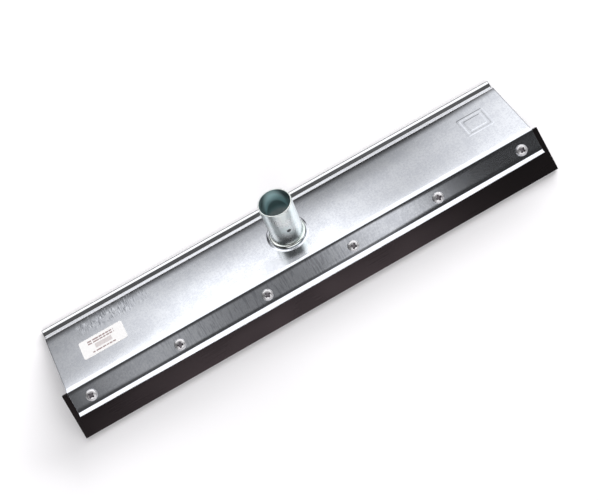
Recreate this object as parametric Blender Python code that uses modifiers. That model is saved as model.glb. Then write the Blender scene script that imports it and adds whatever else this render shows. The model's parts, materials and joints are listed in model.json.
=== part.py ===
"""Floor squeegee head: a bent sheet-steel head, a tubular handle socket and a clamped rubber blade.

The head is modelled in its own frame first. X runs along the blade, Y runs back along the top plate
and Z is the plate's normal, with the origin on the front bend, in the middle of the sheet. An empty
then tilts the whole head until it lies on the floor, on the blade's edge and on the hem at the back.
"""
from math import ceil, cos, atan2, pi, radians, sin, tan

import bmesh
import bpy
from mathutils import Matrix, Vector

# Clearance between pieces that touch on the real object
FIT = 0.0003

# Bent sheet head, with runs measured along the middle of the sheet from corner to corner
HEAD_LENGTH = 0.540
SHEET = 0.0015
FLANGE_WIDTH = 0.0057
FLANGE_BEND = radians(36)
FACE_HEIGHT = 0.024
FRONT_BEND = radians(42)
PLATE_DEPTH = 0.0711
BEND_RADIUS = 0.0023

# Stiffening groove and folded hem along the back of the plate
GROOVE_MOUTH_RADIUS = 0.0040
GROOVE_FALL_RUN = 0.0054
GROOVE_FALL = radians(22.6)
GROOVE_RISE_RUN = 0.0050
GROOVE_RISE = radians(29.5)
GROOVE_RADIUS = 0.0020
RIM_WIDTH = 0.0021
RIM_TILT = radians(5)
HEM_GAP = 0.0006
HEM_RETURN = 0.0022

# Handle socket: a tube with an upset bead above the plate and a flared end below it
SOCKET_BORE = 0.032
SOCKET_WALL = 0.0015
SOCKET_HEIGHT = 0.054
SOCKET_SETBACK = 0.037
BEAD_HEIGHT = 0.0036
BEAD_REACH = 0.0025
FLARE_REACH = 0.0034
RIM_CHAMFER = 0.0003
PIN_HOLE = 0.0042
PIN_HOLE_HEIGHT = 0.0254

# Rubber blade and the bar that clamps it from behind
BLADE_OVERHANG = 0.0062
BLADE_WIDTH = 0.049
BLADE_THICKNESS = 0.005
BAR_WIDTH = 0.020
BAR_THICKNESS = 0.003
BAR_EDGE = 0.0004

# Clamp screws with nuts and split washers
SCREW_COUNT = 6
SCREW_END_GAP = 0.020
SCREW_DROP = 0.014
SCREW_DIAMETER = 0.006
SCREW_CLEARANCE = 0.0006
SCREW_HEAD_DIAMETER = 0.012
SCREW_HEAD_HEIGHT = 0.0042
SCREW_HEAD_RIM = 0.0014
SCREW_TAIL = 0.002
SCREW_TIP_CHAMFER = 0.0008
SCREW_TURN = radians(37)
RECESS_SPAN = 0.0066
RECESS_SLOT = 0.0013
RECESS_DEPTH = 0.0026
RECESS_TAPER = 0.55
NUT_ACROSS_FLATS = 0.010
NUT_HEIGHT = 0.005
NUT_CHAMFER = radians(30)
WASHER_DIAMETER = 0.0118
WASHER_THICKNESS = 0.0016
WASHER_SPLIT = 0.0010
WASHER_SPLIT_SLANT = radians(25)

# Paper label stuck on the plate
LABEL_LENGTH = 0.049
LABEL_DEPTH = 0.0225
LABEL_CORNER = 0.0022
LABEL_THICKNESS = 0.0002
LABEL_END_GAP = 0.0292
LABEL_SETBACK = 0.0339

# Facet sizes
ARC_STEP = radians(15)
ROUND_STEPS = 24
SOCKET_STEPS = 48
CUT_MARGIN = 0.004
WELD = 0.00001
SMOOTH_ANGLE = radians(32)

# Where the layers of the clamp lie, measured from the middle of the sheet along the clamp normal
FACE_FRONT = SHEET / 2
FACE_REAR = -SHEET / 2
BLADE_FRONT = FACE_REAR - FIT
BLADE_REAR = BLADE_FRONT - BLADE_THICKNESS
BAR_FRONT = BLADE_REAR - FIT
BAR_REAR = BAR_FRONT - BAR_THICKNESS
WASHER_FRONT = BAR_REAR - FIT
WASHER_REAR = WASHER_FRONT - WASHER_THICKNESS
NUT_FRONT = WASHER_REAR - FIT
NUT_REAR = NUT_FRONT - NUT_HEIGHT
SCREW_END = NUT_REAR - SCREW_TAIL
SCREW_HOLE = SCREW_DIAMETER + SCREW_CLEARANCE
SCREW_PITCH = (HEAD_LENGTH - 2 * SCREW_END_GAP) / (SCREW_COUNT - 1)
SOCKET_OUTER = SOCKET_BORE / 2 + SOCKET_WALL

# The blade's upper edge lies where the front bend starts
BLADE_TOP = -BEND_RADIUS * tan(FRONT_BEND / 2)


def clear_scene():
    """Empty the file, so that the script can be run again."""
    for obj in list(bpy.data.objects):
        bpy.data.objects.remove(obj)
    for store in (bpy.data.meshes, bpy.data.curves, bpy.data.materials, bpy.data.collections):
        for block in list(store):
            store.remove(block)


def new_collection(name):
    collection = bpy.data.collections.new(name)
    bpy.context.scene.collection.children.link(collection)
    return collection


def new_material(name, colour, roughness, metallic):
    """Principled material with one colour."""
    material = bpy.data.materials.new(name)
    material.use_nodes = True
    shader = material.node_tree.nodes["Principled BSDF"]
    shader.inputs["Base Color"].default_value = (*colour, 1)
    shader.inputs["Roughness"].default_value = roughness
    shader.inputs["Metallic"].default_value = metallic
    material.diffuse_color = (*colour, 1)
    return material


def new_empty(name, parent=None):
    empty = bpy.data.objects.new(name, None)
    empty.parent = parent
    bpy.context.scene.collection.objects.link(empty)
    return empty


def put(collection, name, mesh, parent, material=None):
    """Add a named object, and give its mesh a material if it has none."""
    obj = bpy.data.objects.new(name, mesh)
    obj.parent = parent
    collection.objects.link(obj)
    if material and not mesh.materials:
        mesh.materials.append(material)
    return obj


def shade(mesh):
    mesh.shade_smooth()
    mesh.set_sharp_from_angle(angle=SMOOTH_ANGLE)


def baked(obj, name):
    """Plain welded mesh of an object as its modifiers leave it. The object itself is removed."""
    bpy.context.view_layer.update()
    graph = bpy.context.evaluated_depsgraph_get()
    mesh = bpy.data.meshes.new_from_object(obj.evaluated_get(graph))
    mesh.name = name
    bm = bmesh.new()
    bm.from_mesh(mesh)
    bmesh.ops.remove_doubles(bm, verts=bm.verts, dist=WELD)
    bm.to_mesh(mesh)
    bm.free()
    shade(mesh)
    bpy.data.objects.remove(obj)
    return mesh


def extruded(collection, name, outline, thickness):
    """Mesh of a flat closed outline in local XY, with half its thickness on each side."""
    curve = bpy.data.curves.new(name, "CURVE")
    curve.dimensions = "2D"
    curve.fill_mode = "BOTH"
    curve.extrude = thickness / 2
    spline = curve.splines.new("POLY")
    spline.points.add(len(outline) - 1)
    for point, (x, y) in zip(spline.points, outline):
        point.co = (x, y, 0, 1)
    spline.use_cyclic_u = True
    return baked(put(collection, name, curve, None), name)


def turned(collection, name, profile, steps, ring):
    """Object turned about local Z from points of radius and height that run down the outer side.

    A ring's profile is a closed loop, and any other profile starts and ends on the axis.
    """
    mesh = bpy.data.meshes.new(name)
    last = len(profile) - 1
    edges = [(i, i + 1) for i in range(last)]
    if ring:
        edges.append((last, 0))
    mesh.from_pydata([(radius, 0, height) for radius, height in profile], edges, [])
    obj = put(collection, name, mesh, None)
    screw = obj.modifiers.new("turn", "SCREW")
    screw.steps = steps
    screw.render_steps = steps
    screw.use_merge_vertices = True
    screw.merge_threshold = WELD
    return obj


def cylinders(collection, name, diameter, depth, places, parent=None, turn=None):
    """Cutter of equal cylinders, each centred on a place and turned by a matrix."""
    mesh = bpy.data.meshes.new(name)
    bm = bmesh.new()
    for place in places:
        bmesh.ops.create_cone(
            bm, cap_ends=True, segments=ROUND_STEPS, radius1=diameter / 2, radius2=diameter / 2,
            depth=depth, matrix=Matrix.Translation(place) @ (turn or Matrix()))
    bm.to_mesh(mesh)
    bm.free()
    return hidden(put(collection, name, mesh, parent))


def block(name, length, width, low, high):
    """Box mesh, centred in X and Y, between two heights in Z."""
    mesh = bpy.data.meshes.new(name)
    bm = bmesh.new()
    bmesh.ops.create_cube(bm, size=1)
    bmesh.ops.scale(bm, vec=(length, width, high - low), verts=bm.verts)
    bmesh.ops.translate(bm, vec=(0, 0, (low + high) / 2), verts=bm.verts)
    bm.to_mesh(mesh)
    bm.free()
    return mesh


def hidden(cutter):
    cutter.hide_render = True
    cutter.display_type = "WIRE"
    return cutter


def cut(obj, cutter, operation="DIFFERENCE"):
    boolean = obj.modifiers.new(cutter.name, "BOOLEAN")
    boolean.operation = operation
    boolean.solver = "EXACT"
    boolean.object = cutter


def rounded_edges(obj, width):
    bevel = obj.modifiers.new("edges", "BEVEL")
    bevel.width = width
    bevel.segments = 1


def arc(centre, radius, start, sweep, tall=None):
    """Points on an arc or, where tall is given, on an ellipse of that half height."""
    count = max(2, ceil(abs(sweep) / ARC_STEP))
    height = radius if tall is None else tall
    points = []
    for i in range(count + 1):
        angle = start + sweep * i / count
        points.append((centre[0] + radius * cos(angle), centre[1] + height * sin(angle)))
    return points


def setback(bend, radius):
    """Length that a rounded corner takes from each straight run beside it."""
    return radius * tan(abs(bend) / 2)


def sheet_walk():
    """Middle line of the sheet from the flange's edge to the hem, as points with their headings."""
    corners = (
        (FLANGE_WIDTH, FLANGE_BEND, BEND_RADIUS),
        (FACE_HEIGHT, -FRONT_BEND, BEND_RADIUS),
        (PLATE_DEPTH, -GROOVE_FALL, GROOVE_MOUTH_RADIUS),
        (GROOVE_FALL_RUN, GROOVE_FALL + GROOVE_RISE, GROOVE_RADIUS),
        (GROOVE_RISE_RUN, RIM_TILT - GROOVE_RISE, GROOVE_RADIUS),
    )
    heading = FRONT_BEND - FLANGE_BEND
    place = Vector((0, 0))
    walk = [(place.copy(), heading)]
    spent = 0
    front_corner = None

    def go(length):
        nonlocal place
        place = place + length * Vector((cos(heading), sin(heading)))
        walk.append((place.copy(), heading))

    def bend(angle, radius):
        nonlocal heading
        count = max(2, ceil(abs(angle) / ARC_STEP))
        step = angle / count
        chord = 2 * radius * sin(abs(step) / 2)
        for _ in range(count):
            heading += step / 2
            go(chord)
            walk.pop()
            heading += step / 2
            walk.append((place.copy(), heading))

    for run, angle, radius in corners:
        taken = setback(angle, radius)
        go(run - spent - taken)
        if angle == -FRONT_BEND:
            front_corner = place + taken * Vector((cos(heading), sin(heading)))
        bend(angle, radius)
        spent = taken
    go(RIM_WIDTH - spent)
    bend(-pi, (SHEET + HEM_GAP) / 2)
    go(HEM_RETURN)
    return [(point - front_corner, angle) for point, angle in walk]


def sheet_outline():
    """Closed outline of the bent sheet, as points of Y and Z in the head's frame."""
    upper = []
    lower = []
    for point, heading in sheet_walk():
        side = Vector((-sin(heading), cos(heading))) * SHEET / 2
        upper.append(tuple(point + side))
        lower.append(tuple(point - side))
    return upper + lower[::-1]


def blade_corners():
    """Corners of the blade's wiping edge, as points of Y and Z in the head's frame."""
    edge = BLADE_TOP - BLADE_WIDTH
    corners = []
    for layer in (BLADE_FRONT, BLADE_REAR):
        corners.append((edge * cos(FRONT_BEND) - layer * sin(FRONT_BEND),
                        edge * sin(FRONT_BEND) + layer * cos(FRONT_BEND)))
    return corners


def rest_pose(outline):
    """Matrix that lays the head on the floor, on the blade's rear corner and the hem."""
    corners = blade_corners()
    tip = corners[1]
    back = [point for point in outline if point[0] > PLATE_DEPTH]
    lean = min(atan2(z - tip[1], y - tip[0]) for y, z in back)
    turn = Matrix.Rotation(-lean, 4, "X")
    laid = [turn @ Vector((0, y, z)) for y, z in outline + corners]
    middle = (min(p.y for p in laid) + max(p.y for p in laid)) / 2
    floor = min(p.z for p in laid)
    return Matrix.Translation((0, -middle, -floor)) @ turn


def screw_places():
    """Screw centres on the clamp face, in the blade's frame."""
    first = SCREW_END_GAP - HEAD_LENGTH / 2
    return [Vector((first + i * SCREW_PITCH, -SCREW_DROP, 0)) for i in range(SCREW_COUNT)]


def head_plate(parts, cutters, head, screw_holes, outline, material):
    """Bent sheet with its screw holes and the hole for the socket."""
    mesh = extruded(parts, "head_plate", outline, HEAD_LENGTH)
    mesh.transform(Matrix(((0, 0, 1, 0), (1, 0, 0, 0), (0, 1, 0, 0), (0, 0, 0, 1))))
    plate = put(parts, "head_plate", mesh, head, material)
    socket_hole = turned(cutters, "socket_hole", [
        (0, CUT_MARGIN), (SOCKET_OUTER + FIT, CUT_MARGIN),
        (SOCKET_OUTER + FIT, -CUT_MARGIN), (0, -CUT_MARGIN)], SOCKET_STEPS, False)
    socket_hole.parent = head
    socket_hole.location = (0, SOCKET_SETBACK, 0)
    cut(plate, hidden(socket_hole))
    cut(plate, screw_holes)


def socket_profile():
    """Wall of the socket tube, with heights from the middle of the plate."""
    top = SHEET / 2 + SOCKET_HEIGHT
    bore = SOCKET_BORE / 2
    bead_foot = SHEET / 2 + FIT
    flare_top = -SHEET / 2 - FIT
    flare_foot = flare_top - SOCKET_WALL
    profile = [(SOCKET_OUTER - RIM_CHAMFER, top), (SOCKET_OUTER, top - RIM_CHAMFER)]
    profile += arc((SOCKET_OUTER, bead_foot + BEAD_HEIGHT / 2), BEAD_REACH, pi / 2, -pi, BEAD_HEIGHT / 2)
    profile += [(SOCKET_OUTER, flare_top), (SOCKET_OUTER + FLARE_REACH, flare_top)]
    profile += [(SOCKET_OUTER + FLARE_REACH, flare_foot)]
    profile += arc((bore + SOCKET_WALL, flare_foot + SOCKET_WALL), SOCKET_WALL, -pi / 2, -pi / 2)
    profile += [(bore, top - RIM_CHAMFER), (bore + RIM_CHAMFER, top)]
    return profile


def handle_socket(parts, cutters, head, material):
    """Tube held in the plate between its bead and its flare, with a hole for the handle's pin."""
    blank = turned(parts, "handle_socket", socket_profile(), SOCKET_STEPS, True)
    socket = put(parts, "handle_socket", baked(blank, "handle_socket"), head, material)
    socket.location = (0, SOCKET_SETBACK, 0)
    pin = Vector((0, -SOCKET_OUTER, SHEET / 2 + PIN_HOLE_HEIGHT))
    cut(socket, cylinders(cutters, "pin_hole", PIN_HOLE, 2 * CUT_MARGIN, [pin], socket,
                          Matrix.Rotation(pi / 2, 4, "X")))


def rubber_blade(parts, blade_frame, screw_holes, material):
    """Rubber strip behind the clamp face, longer than the metal at both ends."""
    mesh = block("rubber_blade", HEAD_LENGTH + 2 * BLADE_OVERHANG, BLADE_WIDTH, BLADE_REAR, BLADE_FRONT)
    blade = put(parts, "rubber_blade", mesh, blade_frame, material)
    blade.location.y = BLADE_TOP - BLADE_WIDTH / 2
    cut(blade, screw_holes)


def clamp_bar(parts, blade_frame, screw_holes, material):
    """Flat bar that presses the blade against the sheet."""
    mesh = block("clamp_bar", HEAD_LENGTH, BAR_WIDTH, BAR_REAR, BAR_FRONT)
    bar = put(parts, "clamp_bar", mesh, blade_frame, material)
    bar.location.y = -SCREW_DROP
    rounded_edges(bar, BAR_EDGE)
    cut(bar, screw_holes)


def screw_profile():
    """Half section of a pan-head screw, from the crown to the tip."""
    under = FACE_FRONT + FIT
    head = SCREW_HEAD_DIAMETER / 2
    shoulder = under + SCREW_HEAD_RIM
    shank = SCREW_DIAMETER / 2
    profile = arc((0, shoulder), head, pi / 2, -pi / 2, SCREW_HEAD_HEIGHT - SCREW_HEAD_RIM)
    profile[0] = (0, under + SCREW_HEAD_HEIGHT)
    profile += [(head, under), (shank, under)]
    profile += [(shank, SCREW_END + SCREW_TIP_CHAMFER)]
    profile += [(shank - SCREW_TIP_CHAMFER, SCREW_END), (0, SCREW_END)]
    return profile


def recess_cutter(cutters):
    """Tapered cross that sinks into the crown of a screw."""
    span = RECESS_SPAN / 2
    slot = RECESS_SLOT / 2
    corner = [(span, -slot), (span, slot), (slot, slot)]
    outline = []
    for quarter in range(4):
        turn = Matrix.Rotation(quarter * pi / 2, 2)
        outline += [tuple(turn @ Vector(point)) for point in corner]
    mesh = extruded(cutters, "recess", outline, 2 * RECESS_DEPTH)
    for vertex in mesh.vertices:
        if vertex.co.z < 0:
            vertex.co.x *= RECESS_TAPER
            vertex.co.y *= RECESS_TAPER
    cutter = put(cutters, "recess", mesh, None)
    cutter.location.z = FACE_FRONT + FIT + SCREW_HEAD_HEIGHT
    return hidden(cutter)


def screw_mesh(parts, cutters):
    blank = turned(parts, "screw_blank", screw_profile(), ROUND_STEPS, False)
    cut(blank, recess_cutter(cutters))
    return baked(blank, "clamp_screw")


def nut_mesh(parts, cutters):
    """Hexagon nut: a hexagon prism inside a chamfered disc, with its bore cut out."""
    across_corners = NUT_ACROSS_FLATS / cos(pi / 6)
    hexagon = [(across_corners / 2 * cos(i * pi / 3), across_corners / 2 * sin(i * pi / 3)) for i in range(6)]
    prism = extruded(parts, "nut_blank", hexagon, NUT_HEIGHT + 2 * CUT_MARGIN)
    prism.transform(Matrix.Translation((0, 0, (NUT_FRONT + NUT_REAR) / 2)))
    blank = put(parts, "nut_blank", prism, None)
    flat = NUT_ACROSS_FLATS / 2
    reach = across_corners / 2 + SCREW_CLEARANCE
    fall = (reach - flat) * tan(NUT_CHAMFER)
    disc = turned(cutters, "nut_chamfer", [
        (0, NUT_FRONT), (flat, NUT_FRONT), (reach, NUT_FRONT - fall),
        (reach, NUT_REAR + fall), (flat, NUT_REAR), (0, NUT_REAR)], ROUND_STEPS, False)
    cut(blank, hidden(disc), "INTERSECT")
    bore = cylinders(cutters, "nut_bore", SCREW_DIAMETER + 2 * FIT, NUT_HEIGHT + 2 * CUT_MARGIN,
                     [Vector((0, 0, (NUT_FRONT + NUT_REAR) / 2))])
    cut(blank, bore)
    return baked(blank, "clamp_nut")


def washer_mesh(parts, cutters):
    """Spring washer pressed flat, with its slanted split."""
    inner = SCREW_HOLE / 2
    outer = WASHER_DIAMETER / 2
    ring = [(outer, WASHER_FRONT), (outer, WASHER_REAR), (inner, WASHER_REAR), (inner, WASHER_FRONT)]
    blank = turned(parts, "washer_blank", ring, ROUND_STEPS, True)
    slit = block("washer_split", WASHER_SPLIT, outer, -CUT_MARGIN, CUT_MARGIN)
    slit.transform(Matrix.Rotation(WASHER_SPLIT_SLANT, 4, "Y"))
    cutter = put(cutters, "washer_split", slit, None)
    cutter.location = (0, (inner + outer) / 2, (WASHER_FRONT + WASHER_REAR) / 2)
    cut(blank, hidden(cutter))
    return baked(blank, "lock_washer")


def clamp_fasteners(parts, cutters, blade_frame, materials):
    """Six screws along the face, each with its washer and nut behind the bar."""
    meshes = {
        "clamp_screw": screw_mesh(parts, cutters),
        "lock_washer": washer_mesh(parts, cutters),
        "clamp_nut": nut_mesh(parts, cutters),
    }
    for number, place in enumerate(screw_places(), start=1):
        for piece, mesh in meshes.items():
            obj = put(parts, f"{piece}_{number}", mesh, blade_frame, materials[piece])
            obj.location = place
            obj.rotation_euler.z = number * SCREW_TURN


def paper_label(parts, head, material):
    """Label with round corners, flat on the plate at its left end."""
    outline = []
    for quarter, (across, back) in enumerate(((1, 1), (-1, 1), (-1, -1), (1, -1))):
        corner = (across * (LABEL_LENGTH / 2 - LABEL_CORNER), back * (LABEL_DEPTH / 2 - LABEL_CORNER))
        outline += arc(corner, LABEL_CORNER, quarter * pi / 2, pi / 2)
    mesh = extruded(parts, "paper_label", outline, LABEL_THICKNESS)
    label = put(parts, "paper_label", mesh, head, material)
    left = LABEL_END_GAP + LABEL_LENGTH / 2 - HEAD_LENGTH / 2
    label.location = (left, LABEL_SETBACK, SHEET / 2 + FIT + LABEL_THICKNESS / 2)


def build():
    clear_scene()
    parts = new_collection("floor_squeegee")
    cutters = new_collection("floor_squeegee_cutters")
    zinc = {
        "clamp_screw": new_material("screw_zinc", (0.74, 0.74, 0.76), 0.25, 1.0),
        "lock_washer": new_material("washer_spring_steel", (0.42, 0.42, 0.44), 0.40, 1.0),
        "clamp_nut": new_material("nut_zinc", (0.68, 0.68, 0.70), 0.30, 1.0),
    }
    outline = sheet_outline()
    head = new_empty("head_frame")
    head.matrix_world = rest_pose(outline)
    blade_frame = new_empty("blade_frame", head)
    blade_frame.rotation_euler.x = FRONT_BEND
    screw_holes = cylinders(cutters, "screw_holes", SCREW_HOLE, 2 * (CUT_MARGIN - SCREW_END),
                            screw_places(), blade_frame)
    head_plate(parts, cutters, head, screw_holes, outline,
               new_material("galvanised_sheet", (0.70, 0.71, 0.74), 0.30, 1.0))
    handle_socket(parts, cutters, head, new_material("socket_zinc", (0.66, 0.72, 0.71), 0.22, 1.0))
    rubber_blade(parts, blade_frame, screw_holes, new_material("black_rubber", (0.020, 0.018, 0.017), 0.65, 0.0))
    clamp_bar(parts, blade_frame, screw_holes, new_material("galvanised_bar", (0.60, 0.61, 0.63), 0.38, 1.0))
    clamp_fasteners(parts, cutters, blade_frame, zinc)
    paper_label(parts, head, new_material("label_paper", (0.86, 0.85, 0.84), 0.75, 0.0))
    bpy.context.view_layer.update()


build()
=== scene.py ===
"""Looks of a floor squeegee head, laid out as an add-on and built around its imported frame.

The head has its own frame, as in the part's construction: X runs along the blade, Y runs back along
the top plate and Z is the plate's normal, with the origin on the front bend in the middle of the
sheet. The blade's frame is the head's, turned about X onto the clamp face.
"""
import json
from math import ceil, cos, pi, radians, sin, tan

import bmesh
import bpy
from bpy.props import FloatProperty, FloatVectorProperty, IntProperty, PointerProperty
from mathutils import Matrix, Vector


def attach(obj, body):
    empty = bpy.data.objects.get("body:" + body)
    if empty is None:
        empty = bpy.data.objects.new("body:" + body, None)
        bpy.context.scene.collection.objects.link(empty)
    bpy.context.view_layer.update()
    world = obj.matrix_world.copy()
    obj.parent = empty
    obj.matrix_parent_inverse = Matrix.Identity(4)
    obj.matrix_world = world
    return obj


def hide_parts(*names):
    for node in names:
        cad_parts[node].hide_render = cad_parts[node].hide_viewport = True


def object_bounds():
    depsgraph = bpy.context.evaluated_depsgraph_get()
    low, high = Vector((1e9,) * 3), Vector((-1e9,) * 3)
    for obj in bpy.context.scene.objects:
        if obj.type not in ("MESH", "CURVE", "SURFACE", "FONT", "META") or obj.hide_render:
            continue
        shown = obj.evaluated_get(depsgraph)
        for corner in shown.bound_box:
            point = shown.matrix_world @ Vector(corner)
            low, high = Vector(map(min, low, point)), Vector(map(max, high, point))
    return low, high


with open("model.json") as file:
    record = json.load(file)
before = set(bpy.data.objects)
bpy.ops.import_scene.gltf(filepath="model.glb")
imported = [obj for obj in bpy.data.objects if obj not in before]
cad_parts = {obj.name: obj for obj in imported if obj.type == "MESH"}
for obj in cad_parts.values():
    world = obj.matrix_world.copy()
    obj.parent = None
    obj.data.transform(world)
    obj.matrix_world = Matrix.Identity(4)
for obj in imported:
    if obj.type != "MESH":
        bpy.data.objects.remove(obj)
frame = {"record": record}
CAD_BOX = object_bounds()

bl_info = {
    "name": "Floor Squeegee Head",
    "version": (1, 0, 0),
    "blender": (4, 5, 0),
    "location": "3D View > Sidebar > Squeegee",
    "description": "Builds the pieces and finishes of a floor squeegee head around its frame",
    "category": "Object",
}

BODY = "root"

# Facets, stations and margins of the meshes
SHARP_ANGLE = radians(30)
ARC_STEP = radians(4)
ARC_FACETS = 4
BEND_FACETS = 6
ROUND_STEPS = 48
STRIP_HOLE_STEPS = 32
NUT_STEPS = 96
WASHER_STEPS = 72
SHEET_STATIONS = 36
STRIP_STATIONS = 48
WELD = 0.000002
POLE = WELD / 4
CUT_MARGIN = 0.004

# Place of the front bend among the sheet's bends
FRONT_BEND = 3

# Shares of the thread's depth over one turn, and of a pressed edge's height and slope
THREAD_FORM = (0, 0.5, 1, 0.5)
PRESSED_EDGE = ((0, 0), (0.7, 0.7), (0.92, 1), (1, 1.5))


def size_of(name, default, description):
    return FloatProperty(name=name, description=description, default=default,
                         min=0, unit="LENGTH", precision=5)


def angle_of(name, degrees, description):
    return FloatProperty(name=name, description=description, default=radians(degrees), subtype="ANGLE")


def number_of(name, default, description):
    return FloatProperty(name=name, description=description, default=default, min=0)


def colour_of(name, default, description):
    return FloatVectorProperty(name=name, description=description, default=default, size=3,
                               min=0, max=1, subtype="COLOR")


class SheetSizes(bpy.types.PropertyGroup):
    """Bent sheet, with runs along the middle of the sheet from corner to corner."""
    length: size_of("Length", 0.540, "Length of the metal along the blade")
    thickness: size_of("Thickness", 0.0015, "Thickness of the sheet")
    flange_width: size_of("Flange width", 0.006125, "Width of the small flange in its middle")
    flange_bow: size_of("Flange bow", 0.0017, "Narrowing of the flange from its middle to its ends")
    flange_bend: angle_of("Flange bend", 36, "Turn between the flange and the clamp face")
    face_height: size_of("Face height", 0.024, "Height of the clamp face between its bends")
    front_bend: angle_of("Front bend", 42, "Turn between the clamp face and the top plate")
    face_roll: angle_of("Face roll", 4.5, "Gentle roll of the clamp face towards each of its bends")
    face_roll_radius: size_of("Face roll radius", 0.040, "Radius of the clamp face's gentle rolls")
    face_edge: size_of("Face edge", 0.0038, "Distance of those rolls' middles from the bends")
    lead: angle_of("Lead-in", 12, "Soft first part of the front bend")
    lead_back: size_of("Lead-in back", 0.0024, "Distance of the soft part's middle behind the front bend")
    lead_radius: size_of("Lead-in radius", 0.012, "Radius of the front bend's soft part")
    plate_depth: size_of("Plate depth", 0.0711, "Depth of the top plate from the front bend to the groove")
    bend_radius: size_of("Bend radius", 0.0023, "Radius of the bends at the clamp face")
    roll: angle_of("Roll", 2.7, "Gentle downward roll of the plate before the groove")
    roll_back: size_of("Roll back", 0.0045, "Distance of the roll's middle from the groove")
    roll_radius: size_of("Roll radius", 0.180, "Radius of the gentle roll")
    mouth_radius: size_of("Mouth radius", 0.0040, "Radius of the bend into the groove")
    groove_fall_run: size_of("Groove fall", 0.0054, "Length of the groove's falling side")
    groove_fall: angle_of("Groove fall angle", 21.3, "Slope of the groove's falling side")
    groove_rise_run: size_of("Groove rise", 0.0050, "Length of the groove's rising side")
    groove_rise: angle_of("Groove rise angle", 31.0, "Slope of the groove's rising side")
    groove_radius: size_of("Groove radius", 0.0020, "Radius of the groove's other bends")
    rim_width: size_of("Rim width", 0.0021, "Width of the rim behind the groove")
    rim_tilt: angle_of("Rim tilt", 5, "Upward tilt of the rim")
    hem_gap: size_of("Hem gap", 0.0006, "Gap inside the folded hem")
    hem_return: size_of("Hem return", 0.0022, "Length of the folded layer under the rim")
    edge: size_of("Edge", 0.0003, "Rounding of the sheared edges")
    crown: size_of("Crown", 0.65, "Radius of the plate's faint crown, which only its shading shows")
    mark_length: size_of("Mark length", 0.033, "Length of the plain pressed mark")
    mark_depth: size_of("Mark depth", 0.027, "Depth of the plain pressed mark")
    mark_end_gap: size_of("Mark end gap", 0.024, "Distance of the mark from the right end")
    mark_setback: size_of("Mark setback", 0.043, "Distance of the mark's middle behind the front bend")
    mark_height: size_of("Mark height", 0.00012, "Height of the pressed mark above the plate")
    mark_line: size_of("Mark line", 0.0026, "Width of the mark's frames")
    mark_corner: size_of("Mark corner", 0.0016, "Radius of the mark's corners")
    mark_slope: size_of("Mark slope", 0.0011, "Width of the slopes beside the mark's frames")


class SocketSizes(bpy.types.PropertyGroup):
    """Tube for the handle."""
    bore: size_of("Bore", 0.032, "Inner diameter of the tube")
    wall: size_of("Wall", 0.0015, "Wall of the tube")
    height: size_of("Height", 0.054, "Height of the tube above the plate")
    setback: size_of("Setback", 0.037, "Distance of the tube's axis behind the front bend")
    bead_height: size_of("Bead height", 0.0036, "Height of the bead on the plate")
    bead_reach: size_of("Bead reach", 0.0025, "Reach of the bead beyond the tube")
    flare_reach: size_of("Flare reach", 0.0034, "Reach of the flare under the plate")
    lip: size_of("Lip", 0.0005, "Rounding of the rim")
    pin_hole: size_of("Pin hole", 0.0042, "Diameter of the hole for the handle's pin")
    pin_height: size_of("Pin height", 0.0254, "Height of the pin hole above the plate")
    steps: IntProperty(name="Steps", description="Facets around the tube", default=144, min=12)


class BladeSizes(bpy.types.PropertyGroup):
    """Rubber blade and the bar that clamps it."""
    overhang: size_of("Overhang", 0.0062, "Reach of the rubber beyond each end of the metal")
    width: size_of("Width", 0.049, "Width of the rubber strip")
    thickness: size_of("Thickness", 0.005, "Thickness of the rubber strip")
    edge: size_of("Edge", 0.0003, "Rounding of the rubber's edges")
    bar_width: size_of("Bar width", 0.020, "Width of the clamp bar")
    bar_thickness: size_of("Bar thickness", 0.003, "Thickness of the clamp bar")
    bar_edge: size_of("Bar edge", 0.0005, "Rounding of the bar's edges")
    fit: size_of("Fit", 0.0003, "Clearance between the clamped layers")


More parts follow.
